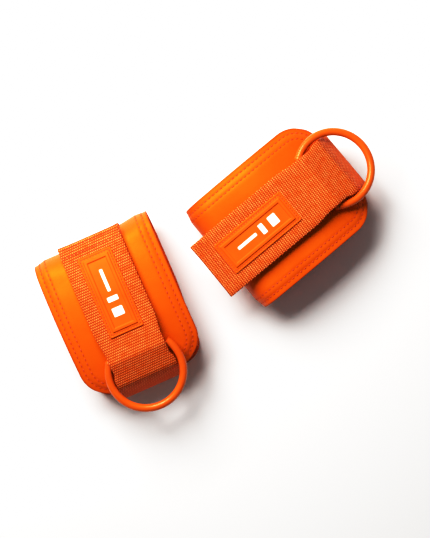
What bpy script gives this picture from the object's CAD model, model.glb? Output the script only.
"""A pair of padded gym ankle straps, closed, on a pale floor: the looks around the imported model."""
import math

import bmesh
import bpy
import numpy as np
from mathutils import Matrix, Vector, geometry
from mathutils.bvhtree import BVHTree


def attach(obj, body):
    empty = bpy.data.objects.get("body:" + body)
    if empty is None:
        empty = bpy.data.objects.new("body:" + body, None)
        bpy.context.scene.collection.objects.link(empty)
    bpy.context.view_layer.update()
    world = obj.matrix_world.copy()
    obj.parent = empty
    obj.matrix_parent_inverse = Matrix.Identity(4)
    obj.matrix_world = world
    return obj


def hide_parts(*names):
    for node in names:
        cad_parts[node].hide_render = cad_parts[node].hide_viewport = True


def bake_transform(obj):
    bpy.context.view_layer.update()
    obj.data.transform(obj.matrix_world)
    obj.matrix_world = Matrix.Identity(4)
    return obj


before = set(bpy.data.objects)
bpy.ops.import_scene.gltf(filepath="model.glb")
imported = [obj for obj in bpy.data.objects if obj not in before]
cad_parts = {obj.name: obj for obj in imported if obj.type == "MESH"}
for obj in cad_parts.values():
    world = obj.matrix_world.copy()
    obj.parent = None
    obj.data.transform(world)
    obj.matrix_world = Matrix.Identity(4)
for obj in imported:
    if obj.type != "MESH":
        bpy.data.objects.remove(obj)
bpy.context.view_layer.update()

# sizes are in millimetres, in a strap's own frame: x towards the ring, z up, the bar at x = 0
MM = 0.001
PANEL_HALF = 49.0
PANEL_REACH = 26.5
PAD_THICK = 6.8
EDGE_THICK = 1.9
END_CORNER = 27.0
TUCK_CORNER = 27.0
STITCH_ROWS = (4.5, 9.5)
STITCH_PITCH = 4.0
WEB_HALF = 25.0
WAIST_HALF = 23.2
KEEPER_HALF = 19.0
WEB_THICK = 1.8
CROWN_X = -46.0
CROWN_R = 170.0
CROWN_Z = -123.8
BEND_R = 20.86
BEND_X = -74.14
BEND_Z = 22.66
TUCK_X = 4.5
TUCK_R = 24.0
TUCK_Z = 25.8
BAR_Z = 44.89
FLAP_R = 175.4
UPPER_Z = 34.0
KEEPER_FROM = -21.0
KEEPER_TO = -27.0
BAR_HUG = 3.05
LOWER_TURN = (20.893, 25.549, 9.0)
RING_TURN = (15.78, 38.082, 6.0)
OVER_BAR_R = 6.05
BRIDGE_LEAN = 66.49
CROWN_LEAN = 89.156
HEM_R = 0.95
HEM_BACK = 11.0
DRAWN_IN = 2.2
SUNK_EDGE = 2.3
PUFF_CAP = 1.6
PUFF_PRESSURE = 4
PUFF_FRAMES = 20
BADGE_LONG = 66.0
BADGE_WIDE = 28.0
BADGE_SEAT = WEB_THICK / 2 + 0.12
STRAPS = {
    "left": {"x": -89.4, "y": -34.1, "heading": -90.0, "tip": 96.3, "badge": 16.9, "seed": 3,
             "skew": 5.6},
    "right": {"x": 90.6, "y": 29.5, "heading": 16.3, "tip": 107.4, "badge": 27.7, "seed": 8,
              "skew": 0.0},
}


# ---------------------------------------------------------------- shader maths


class Value:
    """A shader socket that takes part in ordinary arithmetic."""

    def __init__(self, finish, socket):
        self.finish = finish
        self.socket = socket

    def _math(self, operation, *others):
        return self.finish.add(
            "ShaderNodeMath", {"operation": operation}, dict(enumerate((self, *others)))
        )

    def __add__(self, other):
        return self._math("ADD", other)

    __radd__ = __add__

    def __sub__(self, other):
        return self._math("SUBTRACT", other)

    def __rsub__(self, other):
        return self.finish.add("ShaderNodeMath", {"operation": "SUBTRACT"}, {0: other, 1: self})

    def __mul__(self, other):
        return self._math("MULTIPLY", other)

    __rmul__ = __mul__

    def floor(self):
        return self._math("FLOOR")

    def fraction(self):
        return self._math("FRACT")

    def wave(self):
        return self._math("SINE")

    def root(self):
        return self._math("SQRT")

    def at_least(self, low):
        return self._math("MAXIMUM", low)

    def at_most(self, high):
        return self._math("MINIMUM", high)


class Finish:
    """One procedural material, built node by node."""

    def __init__(self, name, **constants):
        self.material = bpy.data.materials.new(name)
        self.material.use_nodes = True
        self.tree = self.material.node_tree
        self.shader = self.tree.nodes["Principled BSDF"]
        for socket, value in constants.items():
            self.shader.inputs[socket.replace("_", " ")].default_value = value

    def add(self, kind, settings=None, inputs=None, output=0):
        """Adds a node: settings first, then the values or links of its sockets."""
        node = self.tree.nodes.new(kind)
        for key, value in (settings or {}).items():
            if key == "stops":
                ramp = node.color_ramp.elements
                while len(ramp) < len(value):
                    ramp.new(0.5)
                for stop, (place, colour) in zip(ramp, value):
                    stop.position = place
                    stop.color = (*colour, 1)
            else:
                setattr(node, key, value)
        for key, value in (inputs or {}).items():
            if isinstance(value, Value):
                self.tree.links.new(value.socket, node.inputs[key])
            else:
                node.inputs[key].default_value = value
        return Value(self, node.outputs[output])

    def feed(self, **sockets):
        """Links varying values to the shader's own sockets."""
        for name, value in sockets.items():
            self.tree.links.new(value.socket, self.shader.inputs[name.replace("_", " ")])
        return self.material

    def place(self):
        return self.add("ShaderNodeTexCoord", output="Object")

    def noise(self, where, scale, detail=3.0, rough=0.5):
        return self.add(
            "ShaderNodeTexNoise",
            {"noise_dimensions": "3D"},
            {"Vector": where, "Scale": scale, "Detail": detail, "Roughness": rough},
        )

    def blend(self, share, first, second):
        """A colour between two, by a share from 0 to 1."""
        return self.add(
            "ShaderNodeMix",
            {"data_type": "RGBA"},
            {0: share, 6: self.colour(first), 7: self.colour(second)},
            output=2,
        )

    def colour(self, value):
        return value if isinstance(value, Value) else (*value, 1)

    def bump(self, height, distance=1.0, strength=1.0):
        return self.add(
            "ShaderNodeBump", None, {"Height": height, "Distance": distance, "Strength": strength}
        )


def mask(value, low, high):
    """0 below low, 1 above high, straight between."""
    return ((value - low) * (1 / (high - low))).at_least(0.0).at_most(1.0)


def coated_leather(name, base, deep, cut):
    """Smooth coated synthetic leather: fine pebble grain, darker at the seams and cut rim."""
    f = Finish(name, IOR=1.5, Specular_Tint=(1.0, 0.5, 0.04, 1))
    where = f.place()
    pebbles = f.add(
        "ShaderNodeTexVoronoi", {"feature": "DISTANCE_TO_EDGE"}, {"Vector": where, "Scale": 950.0}
    )
    mottle = f.noise(where, 34.0, 4.0)
    grain = f.noise(where, 1500.0, 3.0)
    seam = f.add("ShaderNodeAttribute", {"attribute_name": "seam"}, output="Fac")
    rim = f.add("ShaderNodeAttribute", {"attribute_name": "rim"}, output="Fac")
    shade = f.blend(mask(mottle, 0.35, 0.65) * 0.55, base, deep)
    shade = f.blend(seam * 0.35, shade, deep)
    shade = f.blend(rim * 0.8, shade, cut)
    height = mask(pebbles, 0.0, 0.16) * 0.00004 + grain * 0.00003
    height = height + f.noise(where, 150.0, 2.0) * 0.00012
    return f.feed(
        Base_Color=shade,
        Roughness=0.36 + mottle * 0.16 + seam * 0.12,
        Normal=f.bump(height, 1.0, 0.8),
    )


def woven(name, base, deep, pale, pitch=1.5, pick=1.95):
    """Coarse ribbed webbing: rows of yarn beads, each row half a bead on from the last."""
    f = Finish(name, IOR=1.45, Specular_Tint=(1.0, 0.55, 0.15, 1))
    at = f.add("ShaderNodeUVMap", {"uv_map": "weave"})
    along = f.add("ShaderNodeSeparateXYZ", None, {0: at}, output=0) * 100.0
    across = f.add("ShaderNodeSeparateXYZ", None, {0: at}, output=1) * 100.0
    where = f.place()
    drift = f.noise(where, 60.0, 2.0) - 0.5
    row = (along + drift * 0.5) * (1 / pick)
    row_number = row.floor()
    in_row = (row - row_number - 0.5) * 2.0
    brick = (row_number * 0.5).fraction()
    in_lane = ((across + drift * 0.4) * (1 / pitch) + brick).fraction() * 2.0 - 1.0
    bead = ((1.0 - in_lane * in_lane) * (1.0 - in_row * in_row)).at_least(0.0).root()
    fibres = (in_lane * 9.0 + in_row * 5.0 + drift * 6.0).wave()
    worn = f.noise(where, 260.0, 4.0)
    rubbed = 1.0 - mask(along, 15.0, 24.0)
    ribs = 1.0 - rubbed * 0.75
    shade = f.blend(mask(bead, 0.32, 0.8) * ribs + rubbed * 0.5, deep, base)
    shade = f.blend(mask(bead, 0.66, 1.0) * mask(worn, 0.3, 0.7) * ribs * 0.85, shade, pale)
    height = bead * ribs * 0.0004 + fibres * 0.000018 + worn * 0.00005
    return f.feed(
        Base_Color=shade,
        Roughness=0.82 - bead * 0.26,
        Normal=f.bump(height, 1.0, 1.0),
    )


def knitted(name, base, deep):
    """Soft brushed knit of the lining."""
    f = Finish(name, IOR=1.35, Sheen_Weight=0.35, Sheen_Roughness=0.5)
    where = f.place()
    loops = f.add(
        "ShaderNodeTexVoronoi", {"feature": "F1"}, {"Vector": where, "Scale": 820.0}
    )
    nap = f.noise(where, 240.0, 5.0, 0.65)
    shade = f.blend(mask(nap, 0.3, 0.7), deep, base)
    height = (1.0 - loops) * 0.00012 + nap * 0.00025
    return f.feed(Base_Color=shade, Roughness=0.8 + nap * 0.15, Normal=f.bump(height, 1.0, 0.9))


def pile(name, base, deep, scale, tall):
    """Hook or loop pile of the closure tapes."""
    f = Finish(name, IOR=1.4)
    where = f.place()
    tufts = f.add(
        "ShaderNodeTexVoronoi", {"feature": "F1"}, {"Vector": where, "Scale": scale}
    )
    strands = f.noise(where, scale * 0.6, 6.0, 0.75)
    high = (1.0 - tufts * 1.3).at_least(0.0)
    shade = f.blend(mask(high * strands, 0.1, 0.42), deep, base)
    height = high * tall + strands * (tall * 0.6)
    return f.feed(Base_Color=shade, Roughness=0.7 + strands * 0.25, Normal=f.bump(height))


def powder_coat(name, base, deep):
    """Satin powder coat over wire: faint orange peel, slightly rubbed."""
    f = Finish(name, IOR=1.5, Coat_Roughness=0.22, Specular_Tint=(1.0, 0.6, 0.2, 1))
    where = f.place()
    peel = f.noise(where, 420.0, 3.0)
    rub = f.noise(where, 70.0, 5.0, 0.6)
    shade = f.blend(mask(rub, 0.42, 0.68) * 0.6, base, deep)
    return f.feed(
        Base_Color=shade,
        Roughness=0.26 + rub * 0.2,
        Coat_Weight=0.25 + peel * 0.1,
        Normal=f.bump(peel * 0.00006 + f.noise(where, 1600.0) * 0.000012),
    )


def moulded_rubber(name, base, deep):
    """Matt moulded badge rubber with a fine spark-eroded texture."""
    f = Finish(name, IOR=1.45, Specular_Tint=(1.0, 0.5, 0.1, 1))
    where = f.place()
    spark = f.noise(where, 1300.0, 4.0, 0.7)
    cloud = f.noise(where, 90.0, 3.0)
    shade = f.blend(mask(cloud, 0.3, 0.7) * 0.6, base, deep)
    return f.feed(
        Base_Color=shade, Roughness=0.42 + spark * 0.2, Normal=f.bump(spark * 0.00005)
    )


def printed_white(name):
    """Slightly uneven white ink on the badge."""
    f = Finish(name, IOR=1.45)
    where = f.place()
    ink = f.noise(where, 700.0, 4.0, 0.6)
    shade = f.blend(mask(ink, 0.3, 0.75), (0.96, 0.93, 0.88), (0.86, 0.8, 0.74))
    return f.feed(Base_Color=shade, Roughness=0.45 + ink * 0.2, Normal=f.bump(ink * 0.00003))


def twisted_thread(name, base, deep):
    """Bonded three-ply thread."""
    f = Finish(name, IOR=1.45)
    where = f.place()
    ply = f.add(
        "ShaderNodeTexWave",
        {"wave_type": "BANDS", "bands_direction": "DIAGONAL"},
        {"Vector": where, "Scale": 900.0, "Distortion": 1.5},
        output="Fac",
    )
    shade = f.blend(mask(ply, 0.2, 0.8), deep, base)
    return f.feed(Base_Color=shade, Roughness=0.5 + ply * 0.15, Normal=f.bump(ply * 0.00006))


def cut_edge(name, base, deep):
    """Raw cut edge of the panel, where shell and lining meet."""
    f = Finish(name, IOR=1.4)
    where = f.place()
    fluff = f.noise(where, 600.0, 5.0, 0.7)
    shade = f.blend(mask(fluff, 0.35, 0.65), base, deep)
    return f.feed(Base_Color=shade, Roughness=0.75 + fluff * 0.2, Normal=f.bump(fluff * 0.0001))


def pale_floor(name):
    """Seamless studio paper."""
    f = Finish(name, IOR=1.3)
    where = f.place()
    fibre = f.noise(where, 900.0, 3.0)
    shade = f.blend(mask(fibre, 0.3, 0.7), (0.93, 0.93, 0.93), (0.91, 0.91, 0.91))
    return f.feed(Base_Color=shade, Roughness=0.9 + fibre * 0.08)


LEATHER = coated_leather("orange_coated_leather", (0.8, 0.132, 0.006), (0.74, 0.105, 0.004),
                         (0.4, 0.045, 0.005))
WEBBING = woven("orange_webbing", (0.8, 0.15, 0.018), (0.36, 0.024, 0.003), (0.95, 0.44, 0.15))
LINING = knitted("orange_lining", (0.76, 0.12, 0.012), (0.6, 0.07, 0.006))
LOOPS = pile("loop_pile", (0.8, 0.15, 0.02), (0.5, 0.06, 0.006), 700.0, 0.0005)
HOOKS = pile("hook_pile", (0.76, 0.14, 0.016), (0.42, 0.05, 0.005), 1100.0, 0.0006)
RING = powder_coat("orange_powder_coat", (0.78, 0.13, 0.008), (0.68, 0.095, 0.005))
RUBBER = moulded_rubber("orange_badge_rubber", (0.8, 0.135, 0.008), (0.74, 0.11, 0.006))
WHITE = printed_white("white_badge_print")
THREAD = twisted_thread("orange_thread", (0.7, 0.105, 0.008), (0.48, 0.055, 0.005))
EDGE = cut_edge("cut_panel_edge", (0.55, 0.08, 0.008), (0.3, 0.03, 0.004))


# ---------------------------------------------------------------- paths in a strap's side view


def ease(value):
    value = np.clip(value, 0, 1)
    return value * value * (3 - 2 * value)


def arc(x, z, radius, start, stop, step=1.5):
    """Points round a centre, by the angle of the outward normal in degrees."""
    count = max(2, int(abs(stop - start) / step) + 1)
    turn = np.radians(np.linspace(start, stop, count))
    return list(zip(x + radius * np.cos(turn), z + radius * np.sin(turn)))


def crown_angle(x, radius):
    return math.degrees(math.acos((x - CROWN_X) / radius))


class Track:
    """A line in the side view, measured by its length; rise is to the right of travel."""

    def __init__(self, points, spacing=0.5, smooth=2):
        raw = np.array(points, float)
        keep = np.r_[True, np.hypot(*np.diff(raw, axis=0).T) > 1e-6]
        raw = raw[keep]
        run = np.r_[0, np.cumsum(np.hypot(*np.diff(raw, axis=0).T))]
        self.length = float(run[-1])
        count = max(8, int(self.length / spacing) + 1)
        self.run = np.linspace(0, self.length, count)
        self.x = np.interp(self.run, run, raw[:, 0])
        self.z = np.interp(self.run, run, raw[:, 1])
        for _ in range(smooth):
            for line in (self.x, self.z):
                line[1:-1] = 0.25 * line[:-2] + 0.5 * line[1:-1] + 0.25 * line[2:]
        dx = np.gradient(self.x)
        dz = np.gradient(self.z)
        long = np.hypot(dx, dz)
        self.nx = dz / long
        self.nz = -dx / long

    def at(self, along, rise=0.0):
        """x, z at a length along the track, raised off it."""
        x, z, nx, nz = self.frame(along)
        return x + nx * rise, z + nz * rise

    def frame(self, along):
        along = np.clip(along, 0, self.length)
        return tuple(np.interp(along, self.run, line) for line in (self.x, self.z, self.nx, self.nz))

    def near_x(self, x):
        """Length along at which the upper part of the track passes x."""
        gap = np.where(self.z > UPPER_Z, np.abs(self.x - x), np.inf)
        return float(self.run[int(np.argmin(gap))])


def panel_points():
    """The panel's outer face from the top end, round the far bend, to the tucked end."""
    join = math.degrees(math.atan2(BEND_Z - CROWN_Z, BEND_X - CROWN_X))
    points = arc(CROWN_X, CROWN_Z, CROWN_R, crown_angle(PANEL_REACH, CROWN_R), join, 0.3)
    points += arc(BEND_X, BEND_Z, BEND_R, join, 270)
    points += arc(TUCK_X, TUCK_Z, TUCK_R, 270, 345)
    return points


def raised(points, rise):
    """The same line moved to its right."""
    line = Track(points, smooth=0)
    return list(zip(line.x + line.nx * rise, line.z + line.nz * rise))


def base_webbing_points():
    """Middle of the webbing sewn round the panel."""
    return [p for p in raised(panel_points(), WEB_THICK / 2) if not (p[1] > 30 and p[0] > KEEPER_FROM)]


def keeper_points():
    """Middle of the keeper: under the bar, round it, and back down on to the webbing."""
    mid = WEB_THICK / 2
    lean = math.degrees(math.acos(-CROWN_X / (CROWN_R + 4.85)))
    under = arc(CROWN_X, CROWN_Z, CROWN_R + mid, crown_angle(KEEPER_FROM, CROWN_R), lean, 0.3)
    around = arc(0, BAR_Z, BAR_HUG + mid, lean - 180, 86, 6)
    over = []
    for x in np.arange(-3.0, KEEPER_TO, -1.0):
        soft = ease((-x - 3) / 16)
        crown = CROWN_Z + math.sqrt((CROWN_R + 3 * mid) ** 2 - (x - CROWN_X) ** 2)
        bar_top = BAR_Z + BAR_HUG + mid + 0.05 * x
        over.append((x, bar_top + (crown - bar_top) * soft))
    return under + around + over


def closing_strap_points(tip):
    """Middle of the free webbing: up through the ring, over the bar, along the top, hemmed."""
    mid = WEB_THICK / 2
    points = arc(TUCK_X, TUCK_Z, TUCK_R + mid, 341, 345)
    points += arc(*LOWER_TURN, -15, 35, 5)
    points += arc(*RING_TURN, 35, BRIDGE_LEAN, 5)
    points += arc(0, BAR_Z, OVER_BAR_R, BRIDGE_LEAN, CROWN_LEAN, 5)
    points += arc(CROWN_X, CROWN_Z, FLAP_R, CROWN_LEAN, crown_angle(1.0 - tip, FLAP_R), 0.3)
    lean = crown_angle(1.0 - tip, FLAP_R)
    x, z = points[-1]
    fold_x = x - HEM_R * math.cos(math.radians(lean))
    fold_z = z - HEM_R * math.sin(math.radians(lean))
    points += arc(fold_x, fold_z, HEM_R, lean, lean + 180, 12)
    points += arc(CROWN_X, CROWN_Z, FLAP_R - 2 * HEM_R, crown_angle(1.2 - tip, FLAP_R),
                  crown_angle(HEM_BACK - tip, FLAP_R), 0.3)
    return points


PANEL = Track(panel_points(), smooth=1)
BASE = Track(base_webbing_points(), smooth=2)
KEEPER = Track(keeper_points(), smooth=3)


# ---------------------------------------------------------------- mesh helpers


def lie(side):
    """Where a strap lies: its own frame, in millimetres, to the model's frame."""
    strap = STRAPS[side]
    turn = Matrix.Rotation(math.radians(strap["heading"]), 4, "Z")
    return Matrix.Translation(Vector((strap["x"], strap["y"], 0)) * MM) @ turn @ Matrix.Scale(MM, 4)


def make_piece(name, points, faces, finishes, side, body, uv=None, smooth=True):
    """A finished mesh piece from points in a strap's own frame, riding a body of that strap."""
    mesh = bpy.data.meshes.new(name)
    if body == "strap":
        points = pull_askew(points, side)
    mesh.from_pydata([tuple(p) for p in points], [], faces)
    mesh.transform(lie(side))
    for finish in finishes:
        mesh.materials.append(finish)
    mesh.polygons.foreach_set("use_smooth", [smooth] * len(mesh.polygons))
    if uv is not None:
        layer = mesh.uv_layers.new(name="weave")
        spots = np.zeros(len(mesh.loops), np.int32)
        mesh.loops.foreach_get("vertex_index", spots)
        layer.data.foreach_set("uv", (np.array(uv, float)[spots] / 100.0).ravel())
    mesh.validate()
    mesh.update()
    piece = bpy.data.objects.new(side + "_" + name, mesh)
    bpy.context.scene.collection.objects.link(piece)
    if body:
        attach(piece, side + "_" + body)
    return piece


def pull_askew(points, side):
    """A strap wrapped a little askew at the far bend, its lower end drawn in under the upper."""
    points = np.array(points, float)
    share = ease((-30 - points[:, 0]) / 55)
    edge = np.clip(points[:, 1] / PANEL_HALF, 0, 1) ** 1.6
    points[:, 0] -= STRAPS[side]["skew"] * edge * share
    low = ease((points[:, 0] + 45) / 45) * ease((33 - points[:, 2]) / 6)
    outward = ease((np.abs(points[:, 1]) - 26) / 20)
    points[:, 1] -= DRAWN_IN * np.sign(points[:, 1]) * outward * low
    return points


def ripple(along, across, seed, size):
    """Small uneven waviness, the same every run."""
    wave = np.sin(along * 0.083 + seed) * np.cos(across * 0.11 + seed * 1.7)
    wave = wave + 0.6 * np.sin(along * 0.19 + across * 0.07 + seed * 2.3)
    return size * wave / 1.6


def band(track, start, stop, half, thick, rise=0.0, step=0.5, scallop=0.0, wavy=None, cuts=12,
         narrow=None):
    """A flexible tape along a track: points, faces and weave coordinates."""
    count = max(3, int((stop - start) / step) + 1)
    along = np.linspace(start, stop, count)
    inside = np.linspace(-half + 0.7, half - 0.7, cuts)
    top = [(v, thick / 2) for v in inside]
    right = [(half - 0.18, thick * 0.32), (half, 0.0), (half - 0.18, -thick * 0.32)]
    bottom = [(v, -thick / 2) for v in inside[::-1]]
    left = [(-half + 0.18, -thick * 0.32), (-half, 0.0), (-half + 0.18, thick * 0.32)]
    ring = np.array(top + right + bottom + left)
    x, z, nx, nz = track.frame(along)
    v = np.tile(ring[:, 0], (count, 1))
    if narrow:
        v = v * (1 - narrow(x, z)[:, None] / half)
    high = np.tile(ring[:, 1], (count, 1)) + rise
    if scallop:
        side = np.clip((np.abs(ring[:, 0]) - half + 1.0), 0, 1)
        v = v + np.sign(v) * side * scallop * (np.abs(np.sin(math.pi * along / 1.9))[:, None] - 0.6)
    if wavy:
        high = high + wavy(along[:, None], v)
    px = x[:, None] + nx[:, None] * high
    pz = z[:, None] + nz[:, None] * high
    points = np.stack([px, v, pz], -1).reshape(-1, 3)
    n = len(ring)
    faces = []
    for i in range(count - 1):
        for j in range(n):
            k = (j + 1) % n
            faces.append((i * n + j, i * n + k, (i + 1) * n + k, (i + 1) * n + j))
    faces.append(tuple(range(n - 1, -1, -1)))
    faces.append(tuple((count - 1) * n + j for j in range(n)))
    uv = np.stack([np.repeat(along, n), v.ravel()], -1)
    return points, faces, uv


def capsule(centre, run, up, long, wide, tall):
    """One sunk stitch: a small rounded strand, thickest in the middle."""
    run = run / np.linalg.norm(run)
    up = up - run * np.dot(up, run)
    up = up / np.linalg.norm(up)
    out = np.cross(run, up)
    places = (-0.5, -0.42, -0.2, 0.2, 0.42, 0.5)
    swell = (0.25, 0.72, 1.0, 1.0, 0.72, 0.25)
    sag = (-0.9, -0.35, 0.0, 0.0, -0.35, -0.9)
    points = []
    for place, fat, low in zip(places, swell, sag):
        for turn in np.arange(6) * math.pi / 3:
            side = out * math.cos(turn) * wide / 2 * fat + up * math.sin(turn) * tall / 2 * fat
            points.append(centre + run * place * long + up * low * tall * 0.6 + side)
    faces = []
    for i in range(len(places) - 1):
        for j in range(6):
            k = (j + 1) % 6
            faces.append((i * 6 + j, i * 6 + k, (i + 1) * 6 + k, (i + 1) * 6 + j))
    faces.append((5, 4, 3, 2, 1, 0))
    last = (len(places) - 1) * 6
    faces.append(tuple(last + j for j in range(6)))
    return points, faces


def sew(name, stitches, side, body):
    """Many stitches as one piece; each is centre, direction, up, length, width, height."""
    points, faces = [], []
    for stitch in stitches:
        more, sides = capsule(*stitch)
        first = len(points)
        points.extend(more)
        faces.extend(tuple(first + i for i in face) for face in sides)
    return make_piece(name, points, faces, [THREAD], side, body)


# ---------------------------------------------------------------- padded panel


def outline(inset, spacing=2.4):
    """The panel's cut edge laid flat, moved in by inset: length along the wrap, and across."""
    full = PANEL.length
    corners = (
        (END_CORNER, END_CORNER, PANEL_HALF - END_CORNER, 90, 180),
        (END_CORNER, END_CORNER, END_CORNER - PANEL_HALF, 180, 270),
        (TUCK_CORNER, full - TUCK_CORNER, TUCK_CORNER - PANEL_HALF, 270, 360),
        (TUCK_CORNER, full - TUCK_CORNER, PANEL_HALF - TUCK_CORNER, 0, 90),
    )
    points = []
    for i, (radius, x, y, start, stop) in enumerate(corners):
        turns = np.radians(np.linspace(start, stop, int(radius * 1.57 / spacing) + 1))
        small = max(radius - inset, 0.6)
        bend = [(x + small * math.cos(t), y + small * math.sin(t)) for t in turns]
        if radius - inset < 0.6:
            shift = 0.6 - (radius - inset)
            bend = [(px - shift * np.sign(x - full / 2), py - shift * np.sign(y)) for px, py in bend]
        points += bend
        following = corners[(i + 1) % 4]
        gap = math.hypot(following[1] - x, following[2] - y)
        count = max(2, int(gap / spacing))
        other = following[0] - inset
        turn = math.radians(stop)
        other = max(other, 0.6)
        end = (following[1] + other * math.cos(turn), following[2] + other * math.sin(turn))
        begin = points[-1]
        for k in range(1, count):
            share = k / count
            points.append((begin[0] + (end[0] - begin[0]) * share,
                           begin[1] + (end[1] - begin[1]) * share))
    return np.array(points)


def edge_distance(flat):
    """How far flat points lie inside the panel's cut edge."""
    full = PANEL.length
    s, v = flat[:, 0], np.abs(flat[:, 1])
    near = s < full / 2
    radius = np.where(near, END_CORNER, TUCK_CORNER)
    end = np.where(near, s, full - s)
    a = radius - end
    b = radius - (PANEL_HALF - v)
    corner = (a > 0) & (b > 0)
    return np.where(corner, radius - np.hypot(a, b), np.minimum(end, PANEL_HALF - v))


def flat_pattern():
    """Points and triangles of the panel laid flat, with rows that follow the edge."""
    rows = (0, 0.9, 2.2, 3.7, 4.5, 5.3, 7.0, 8.7, 9.5, 10.3, 12.2, 14.4)
    loops = [outline(inset) for inset in rows]
    edge = len(loops[0])
    grid = np.array([(s, v) for s in np.arange(3, PANEL.length - 2, 3.1)
                     for v in np.linspace(-46, 46, 31)])
    grid = grid[edge_distance(grid) > 16.2]
    flat = np.vstack(loops + [grid])
    found = geometry.delaunay_2d_cdt([Vector(p) for p in flat], [], [], 0, 1e-5)
    places = np.array([tuple(p) for p in found[0]])
    if len(places) != len(flat):
        raise ValueError("the flat pattern has points that fall together")
    faces = [tuple(face) for face in found[2]]
    return places, faces, edge


def pad_faces(flat):
    """Starting heights of the outer and the lining face over the flat pattern."""
    inset = edge_distance(flat)
    full = ease(inset / 12.0)
    slack = 0.35 * full
    outer = -SUNK_EDGE * (1 - full) - slack
    inner = -SUNK_EDGE - EDGE_THICK - (PAD_THICK - SUNK_EDGE - EDGE_THICK) * full + slack
    return outer, inner, inset


def wrap_points(flat, rise):
    x, z = PANEL.at(flat[:, 0], rise)
    return np.stack([x, flat[:, 1], z], -1)


def build_pad():
    """The quilted panel in a strap's own frame, puffed by a cloth simulation."""
    flat, faces, edge = flat_pattern()
    outer, inner, inset = pad_faces(flat)
    count = len(flat)
    points = np.vstack([wrap_points(flat, outer), wrap_points(flat, inner)])
    # turn the faces round if the outer face looks inward
    a, b, c = (points[i] for i in faces[len(faces) // 2])
    middle = (a + b + c) / 3
    facing = np.cross(b - a, c - a)
    away = middle - np.array([-35.0, middle[1], 22.0])
    if np.dot(facing, away) < 0:
        faces = [face[::-1] for face in faces]
    skin = list(faces) + [tuple(count + i for i in face[::-1]) for face in faces]
    rim = []
    for i in range(edge):
        k = (i + 1) % edge
        rim.append((i, k, count + k, count + i))
    a, b, c, _ = (points[i] for i in rim[0])
    if np.dot(np.cross(b - a, c - a), np.array([1.0, 0, 0]) if abs(a[1]) < 22 else
              np.array([0, np.sign(a[1]), 0])) < 0:
        rim = [face[::-1] for face in rim]
    choice = [0] * len(faces) + [1] * len(faces) + [2] * len(rim)
    mesh = bpy.data.meshes.new("pad")
    mesh.from_pydata([tuple(p * MM) for p in points], [], skin + rim)
    mesh.polygons.foreach_set("material_index", choice)
    mesh.update()
    pad = bpy.data.objects.new("pad", mesh)
    bpy.context.scene.collection.objects.link(pad)
    puff(pad, np.r_[flat[:, 1], flat[:, 1]], np.r_[inset, inset])
    attribute = mesh.attributes.new("inset", "FLOAT", "POINT")
    attribute.data.foreach_set("value", np.r_[inset, inset].astype(np.float32))
    attribute = mesh.attributes.new("wrap", "FLOAT", "POINT")
    attribute.data.foreach_set("value", np.r_[flat[:, 0], flat[:, 0]].astype(np.float32))
    finer = pad.modifiers.new("finer", "SUBSURF")
    finer.levels = 1
    finer.render_levels = 1
    shaped = bpy.data.meshes.new_from_object(
        pad.evaluated_get(bpy.context.evaluated_depsgraph_get())
    )
    bpy.data.objects.remove(pad)
    press_seams(shaped)
    return shaped


def puff(pad, across, inset):
    """Cloth simulation with pressure; the sewn edge and the part under the webbing hold still."""
    rest = np.array([v.co for v in pad.data.vertices])
    free = ease((inset - 9.6) / 5.0) * ease((np.abs(across) - WEB_HALF + 1.0) / 4.0)
    between = np.exp(-((inset - 7.0) / 1.4) ** 2) * 0.5
    hold = 1 - np.clip(free + between, 0, 1) * 0.97
    group = pad.vertex_groups.new(name="sewn")
    for i, weight in enumerate(hold):
        group.add([i], float(weight), "REPLACE")
    cloth = pad.modifiers.new("fill", "CLOTH").settings
    cloth.quality = 6
    cloth.mass = 0.25
    cloth.tension_stiffness = 12
    cloth.compression_stiffness = 12
    cloth.shear_stiffness = 4
    cloth.bending_stiffness = 0.4
    cloth.air_damping = 2
    cloth.use_pressure = True
    cloth.uniform_pressure_force = PUFF_PRESSURE
    cloth.shrink_min = -0.012
    cloth.vertex_group_mass = "sewn"
    cloth.effector_weights.gravity = 0
    scene = bpy.context.scene
    for step in range(1, PUFF_FRAMES + 1):
        scene.frame_set(step)
    graph = bpy.context.evaluated_depsgraph_get()
    grown = pad.evaluated_get(graph).to_mesh()
    moved = np.array([v.co for v in grown.vertices]) - rest
    pad.evaluated_get(graph).to_mesh_clear()
    pad.modifiers.clear()
    scene.frame_set(1)
    moved = soften(pad.data, moved)
    far = np.linalg.norm(moved, axis=1)
    cap = PUFF_CAP * MM
    moved *= (cap * np.tanh(far / cap) / np.maximum(far, 1e-9))[:, None]
    for vertex, place in zip(pad.data.vertices, rest + moved):
        vertex.co = place
    pad.data.update()


def soften(mesh, moved, rounds=10):
    """Evens a field of movements over the mesh, so that no pinch is left at a held edge."""
    ends = np.zeros(len(mesh.edges) * 2, np.int64)
    mesh.edges.foreach_get("vertices", ends)
    one, two = ends.reshape(-1, 2).T
    count = np.bincount(ends, minlength=len(moved))[:, None]
    for _ in range(rounds):
        total = np.zeros_like(moved)
        np.add.at(total, one, moved[two])
        np.add.at(total, two, moved[one])
        moved = 0.5 * moved + 0.5 * total / np.maximum(count, 1)
    return moved


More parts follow.
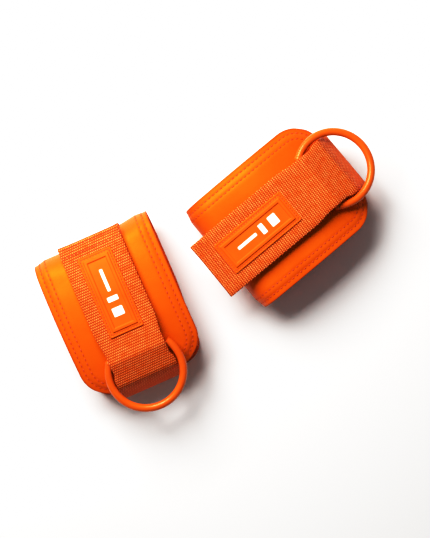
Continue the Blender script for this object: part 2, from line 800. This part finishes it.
def press_seams(mesh):
    """Sinks the two stitch rows and gives the shader its seam and rim masks."""
    count = len(mesh.vertices)
    inset = np.zeros(count, np.float32)
    mesh.attributes["inset"].data.foreach_get("value", inset)
    normal = np.zeros(count * 3, np.float32)
    mesh.vertices.foreach_get("normal", normal)
    normal = normal.reshape(-1, 3)
    place = np.zeros(count * 3, np.float32)
    mesh.vertices.foreach_get("co", place)
    place = place.reshape(-1, 3)
    seam = sum(np.exp(-((inset - row) / 0.75) ** 2) for row in STITCH_ROWS)
    soft = np.exp(-((inset - 7.0) / 1.6) ** 2)
    place = place - normal * (seam * 0.2 - soft * 0.06)[:, None] * MM
    mesh.vertices.foreach_set("co", place.ravel())
    for name, value in (("seam", seam), ("rim", np.exp(-(inset / 1.1) ** 2))):
        layer = mesh.attributes.new(name, "FLOAT", "POINT")
        layer.data.foreach_set("value", np.clip(value, 0, 1).astype(np.float32))
    mesh.update()


def seat_stitches(tree, row, lining):
    """Stitches of one row, laid on the panel's outer or lining face."""
    line = outline(row, 0.6)
    line = np.vstack([line, line[:1]])
    run = np.r_[0, np.cumsum(np.hypot(*np.diff(line, axis=0).T))]
    count = int(run[-1] / STITCH_PITCH)
    centres = (np.arange(count) + 0.5) * run[-1] / count
    stitches = []
    for centre in centres:
        spots = []
        for step in (-0.8, 0.0, 0.8):
            s = np.interp(centre + step, run, line[:, 0])
            v = np.interp(centre + step, run, line[:, 1])
            x, z, nx, nz = (float(c) for c in PANEL.frame(s))
            out = Vector((nx, 0, nz))
            start = Vector((x, float(v), z)) + out * (-14.0 if lining else 6.0)
            hit, normal, _, _ = tree.ray_cast(start * MM, out * (1 if lining else -1), 0.02)
            if hit is None:
                break
            spots.append((np.array(hit) / MM, np.array(normal)))
        if len(spots) < 3:
            continue
        covered = abs(spots[1][0][1]) < WEB_HALF + 0.6 and not lining
        if covered and not (spots[1][0][0] > 4 and spots[1][0][2] > 30):
            continue
        direction = spots[2][0] - spots[0][0]
        up = spots[1][1]
        stitches.append((spots[1][0] + up * 0.1, direction, up, 2.5, 0.9, 0.7))
    return stitches


# ---------------------------------------------------------------- webbing, tapes, badge


def lay_on(track, along, across, rise):
    """A point on a track, raised off it, with its run and up directions."""
    x, z, nx, nz = (float(c) for c in track.frame(along))
    up = np.array([nx, 0, nz])
    return np.array([x, across, z]) + up * rise, np.array([-nz, 0, nx]), up


def straight_stitches(track, corners, rise, pitch, long):
    """Stitches along straight legs between corners given as along and across."""
    stitches = []
    for (s0, v0), (s1, v1) in zip(corners[:-1], corners[1:]):
        reach = math.hypot(s1 - s0, v1 - v0)
        count = max(1, round(reach / pitch))
        for i in range(count):
            share = (i + 0.5) / count
            centre, run, up = lay_on(track, s0 + (s1 - s0) * share, v0 + (v1 - v0) * share, rise)
            direction = run * (s1 - s0) + np.array([0, 1.0, 0]) * (v1 - v0)
            stitches.append((centre, direction, up, long, 0.8, 0.7))
    return stitches


def build_base_webbing(side):
    """The webbing sewn round the panel and the keeper loop that holds the ring's bar."""
    points, faces, uv = band(BASE, 0, BASE.length, WEB_HALF, WEB_THICK - 0.1, scallop=0.3)
    piece = make_piece("base_webbing_woven", points, faces, [WEBBING], side, "strap", uv)
    points, faces, uv = band(KEEPER, 0, KEEPER.length, KEEPER_HALF, WEB_THICK - 0.1, scallop=0.3)
    keeper = make_piece("bar_keeper_woven", points, faces, [WEBBING], side, "strap", uv)
    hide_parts(side + "_base_webbing")
    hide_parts(side + "_base_webbing")
    high = WEB_THICK / 2 + 0.05
    front, back = KEEPER.near_x(-20.5), KEEPER.near_x(-25.2)
    inner = KEEPER_HALF - 2
    legs = [(front, -inner), (front, inner), (back, inner), (back, -inner), (front, -inner)]
    stitches = straight_stitches(KEEPER, legs, high, 2.6, 2.0)
    far = BASE.near_x(-32.0)
    low = BASE.length - 34.0
    for v in (4 - WEB_HALF, WEB_HALF - 4):
        stitches += straight_stitches(BASE, [(far, v), (low, v)], high - 0.35, 3.2, 2.4)
    sewn = sew("keeper_box_stitches", stitches, side, "strap")
    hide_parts(side + "_keeper_stitching")


def build_closing_strap(side):
    """The free webbing from the lower panel up through the ring and along the top."""
    strap = STRAPS[side]
    track = Track(closing_strap_points(strap["tip"]), smooth=3)
    seed = strap["seed"]

    def wavy(along, across):
        loose = ease((along - 30) / 40.0) * ease((track.length - along) / 14.0)
        curl = 0.35 * (np.abs(across) / WEB_HALF) ** 3 * loose
        return ripple(along, across, seed, 0.22) * loose + curl

    def squeezed(x, z):
        return (WEB_HALF - WAIST_HALF) * ease((x + 24) / 19) * ease((15 - x) / 6) * (z > 42)

    points, faces, uv = band(track, 0, track.length, WEB_HALF, WEB_THICK, step=0.38,
                             scallop=0.24, wavy=wavy, narrow=squeezed)
    piece = make_piece("closing_strap", points, faces, [WEBBING], side, None, uv)
    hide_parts(side + "_strap_bridge", side + "_strap_flap")
    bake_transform(piece)
    tip = float(track.run[int(np.argmin(track.x))])
    rows = []
    for back in (3.0, 9.2):
        rows += straight_stitches(track, [(tip - back, -23.0), (tip - back, 23.0)],
                                  WEB_THICK / 2 + 0.1, 2.9, 2.3)
    rows += straight_stitches(track, [(tip - 9.2, -23.0), (tip - 3, -23.0)], 1.0, 2.9, 2.3)
    rows += straight_stitches(track, [(tip - 9.2, 23.0), (tip - 3, 23.0)], 1.0, 2.9, 2.3)
    hem = sew("hem_stitches", rows, side, "flap")
    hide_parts(side + "_hem_stitching")
    return track, tip


def build_tapes(side, track, tip):
    start, stop = BASE.near_x(-30), BASE.near_x(-84)
    points, faces, uv = band(BASE, start, stop, WEB_HALF - 1.5, 1.1, rise=1.42,
                             wavy=lambda a, v: 0.1 * np.sin(a * 1.7) * np.cos(v * 1.3), cuts=20)
    loops = make_piece("loop_tape_pile", points, faces, [LOOPS], side, "strap", uv)
    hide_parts(side + "_loop_tape")
    start, stop = track.near_x(-48), tip - 12.0
    points, faces, uv = band(track, start, stop, WEB_HALF - 1.5, 1.1, rise=-1.45,
                             wavy=lambda a, v: -0.08 * np.sin(a * 2.3) * np.cos(v * 1.9), cuts=20)
    hooks = make_piece("hook_tape_pile", points, faces, [HOOKS], side, "flap", uv)
    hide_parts(side + "_hook_tape")


def badge_height(edge):
    """Height of the badge by distance from its edge: flange, raised frame, sunk field."""
    high = 1.1 * ease(edge / 0.45)
    high = high - 0.25 * np.exp(-((edge - 1.9) / 0.35) ** 2)
    high = high + 0.95 * ease((edge - 3.6) / 0.5)
    high = high - 0.85 * ease((edge - 6.1) / 0.5)
    return high


def build_badge(side, track):
    strap = STRAPS[side]
    long, wide = BADGE_LONG, BADGE_WIDE
    first = track.near_x(-strap["badge"])
    ups = np.unique(np.r_[np.arange(0, 8, 0.25), np.arange(8, long - 8, 1.0),
                          np.arange(long - 8, long + 0.01, 0.25)])
    outs = np.unique(np.r_[np.arange(0, 8, 0.25), np.arange(8, wide - 8, 1.0),
                           np.arange(wide - 8, wide + 0.01, 0.25)]) - wide / 2
    gu, gv = np.meshgrid(ups, outs, indexing="ij")
    corner = 1.6
    a = np.abs(gu - long / 2) - long / 2 + corner
    b = np.abs(gv) - wide / 2 + corner
    edge = corner - np.hypot(np.maximum(a, 0), np.maximum(b, 0)) - np.minimum(np.maximum(a, b), 0)
    edge = np.where((a > 0) | (b > 0), edge, corner - np.maximum(a, b))
    pull = np.maximum(-edge, 0)
    gu = gu - np.sign(gu - long / 2) * pull * 0.75
    gv = gv - np.sign(gv) * pull * 0.75
    edge = np.maximum(edge, 0)
    x, z, nx, nz = track.frame(first + gu)
    base = BADGE_SEAT
    top = base + badge_height(edge)
    upper = np.stack([x + nx * top, gv, z + nz * top], -1).reshape(-1, 3)
    under = np.stack([x + nx * base, gv, z + nz * base], -1).reshape(-1, 3)
    rows, cols = gu.shape
    count = rows * cols
    faces = []
    for i in range(rows - 1):
        for j in range(cols - 1):
            quad = (i * cols + j, i * cols + j + 1, (i + 1) * cols + j + 1, (i + 1) * cols + j)
            faces.append(quad)
            faces.append(tuple(count + k for k in quad[::-1]))
    border = [(i, 0) for i in range(rows)] + [(rows - 1, j) for j in range(1, cols)]
    border += [(i, cols - 1) for i in range(rows - 2, -1, -1)]
    border += [(0, j) for j in range(cols - 2, 0, -1)]
    ids = [i * cols + j for i, j in border]
    for p, q in zip(ids, ids[1:] + ids[:1]):
        faces.append((p, q, count + q, count + p))
    body = make_piece("badge_plate", np.vstack([upper, under]), faces, [RUBBER], side, "flap")
    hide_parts(side + "_badge_body")
    box = 2.0
    legs = [(first + box, -wide / 2 + box), (first + box, wide / 2 - box),
            (first + long - box, wide / 2 - box), (first + long - box, -wide / 2 + box),
            (first + box, -wide / 2 + box)]
    sewn = sew("badge_edge_stitches", straight_stitches(track, legs, base + 0.95, 2.4, 1.7),
               side, "flap")
    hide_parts(side + "_badge_stitching")
    build_emblem(side, track, first)


def build_emblem(side, track, first):
    """Three plain bars, raised on the badge's sunk field."""
    low = BADGE_SEAT + 1.1
    soft = 0.5
    points, faces = [], []
    for start, reach, half in ((14.0, 7.0, 4.5), (26.0, 4.0, 4.5), (34.0, 18.0, 1.5)):
        steps = np.r_[0, soft, np.arange(1, reach - 0.9), reach - soft, reach]
        base = len(points)
        for step in steps:
            pulled = half - soft * (step in (0, reach))
            for rise, across in ((low - 0.35, -pulled), (low, -pulled), (low + 0.14, 0.25 - pulled),
                                 (low + 0.14, pulled - 0.25), (low, pulled), (low - 0.35, pulled)):
                points.append(lay_on(track, first + start + step, across, rise)[0])
        for i in range(len(steps) - 1):
            for j in range(6):
                k = (j + 1) % 6
                at, on = base + i * 6, base + (i + 1) * 6
                faces.append((at + j, on + j, on + k, at + k))
        faces.append(tuple(base + j for j in range(6)))
        faces.append(tuple(base + (len(steps) - 1) * 6 + j for j in range(5, -1, -1)))
    mark = make_piece("badge_bars", points, faces, [WHITE], side, "flap", smooth=False)
    mesh = bmesh.new()
    mesh.from_mesh(mark.data)
    bmesh.ops.recalc_face_normals(mesh, faces=mesh.faces)
    mesh.to_mesh(mark.data)
    mesh.free()
    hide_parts(side + "_badge_emblem")


def build_panel(side, shaped):
    """The padded panel with its stitching."""
    mesh = shaped.copy()
    local = BVHTree.FromPolygons([v.co for v in mesh.vertices],
                                 [tuple(p.vertices) for p in mesh.polygons])
    place = np.zeros(len(mesh.vertices) * 3)
    mesh.vertices.foreach_get("co", place)
    place = pull_askew(place.reshape(-1, 3) / MM, side)
    mesh.vertices.foreach_set("co", place.ravel())
    mesh.transform(lie(side))
    for finish in (LEATHER, LINING, EDGE):
        mesh.materials.append(finish)
    mesh.polygons.foreach_set("use_smooth", [True] * len(mesh.polygons))
    mesh.update()
    panel = bpy.data.objects.new(side + "_padded_panel", mesh)
    bpy.context.scene.collection.objects.link(panel)
    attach(panel, side + "_strap")
    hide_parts(*(side + "_" + n for n in ("outer_shell", "foam_pad", "lining")))
    stitches = []
    for row in STITCH_ROWS:
        stitches += seat_stitches(local, row, False)
        stitches += seat_stitches(local, row, True)
    sewn = sew("panel_edge_stitches", stitches, side, "strap")
    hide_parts(side + "_edge_stitching")


# ---------------------------------------------------------------- floor, lights, camera

PICTURE_TURN = math.radians(-23.63)
LOOK_AT = Vector((-0.00884, 0.00014, 0))
CAMERA_HEIGHT = 1.0
FLOOR_DROP = 0.0004
KEY_SIDE = (-0.54, 0.66, 1.0)
KEY_DISTANCE = 0.8
KEY_SIZE = 0.52
KEY_POWER = 12.0
ROOM_LIGHT = 0.16


def grade(view):
    """A contrasty print curve: deep reds in the shade, orange turning yellow in the light."""
    view.use_curve_mapping = True
    mapping = view.curve_mapping
    mapping.extend = "HORIZONTAL"
    curve = mapping.curves[3]
    curve.points[1].location = (1.0, 1.0)
    for tone in ((0.1, 0.05), (0.25, 0.19), (0.5, 0.56), (0.75, 0.86)):
        curve.points.new(*tone)
    mapping.update()


def build_studio():
    scene = bpy.context.scene
    mesh = bpy.data.meshes.new("floor")
    shape = bmesh.new()
    bmesh.ops.create_grid(shape, x_segments=8, y_segments=8, size=4.0)
    shape.to_mesh(mesh)
    shape.free()
    mesh.materials.append(pale_floor("studio_paper"))
    floor = bpy.data.objects.new("floor", mesh)
    floor.location.z = -FLOOR_DROP
    scene.collection.objects.link(floor)
    soft = bpy.data.lights.new("key", "AREA")
    soft.energy = KEY_POWER
    soft.size = KEY_SIZE
    soft.color = (1.0, 0.985, 0.96)
    key = bpy.data.objects.new("key", soft)
    toward = Matrix.Rotation(PICTURE_TURN, 3, "Z") @ Vector(KEY_SIDE).normalized()
    key.location = toward * KEY_DISTANCE
    key.rotation_euler = toward.to_track_quat("Z", "Y").to_euler()
    scene.collection.objects.link(key)
    world = bpy.data.worlds.new("room")
    world.use_nodes = True
    world.node_tree.nodes["Background"].inputs["Color"].default_value = (1, 0.98, 0.97, 1)
    world.node_tree.nodes["Background"].inputs["Strength"].default_value = ROOM_LIGHT
    scene.world = world
    lens = bpy.data.cameras.new("camera")
    lens.lens = 82.9
    lens.sensor_width = 36
    lens.clip_end = 20
    camera = bpy.data.objects.new("camera", lens)
    camera.location = LOOK_AT + Vector((0, 0, CAMERA_HEIGHT))
    camera.rotation_euler = (0, 0, PICTURE_TURN)
    scene.collection.objects.link(camera)
    scene.camera = camera
    scene.view_settings.view_transform = "Standard"
    grade(scene.view_settings)


build_studio()
shaped_pad = build_pad()
for strap_side in STRAPS:
    build_panel(strap_side, shaped_pad)
    build_base_webbing(strap_side)
    closing_track, strap_tip = build_closing_strap(strap_side)
    build_tapes(strap_side, closing_track, strap_tip)
    build_badge(strap_side, closing_track)
    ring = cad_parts[strap_side + "_d_ring"]
    ring.data.materials.clear()
    ring.data.materials.append(RING)
    ring.data.polygons.foreach_set("use_smooth", [True] * len(ring.data.polygons))
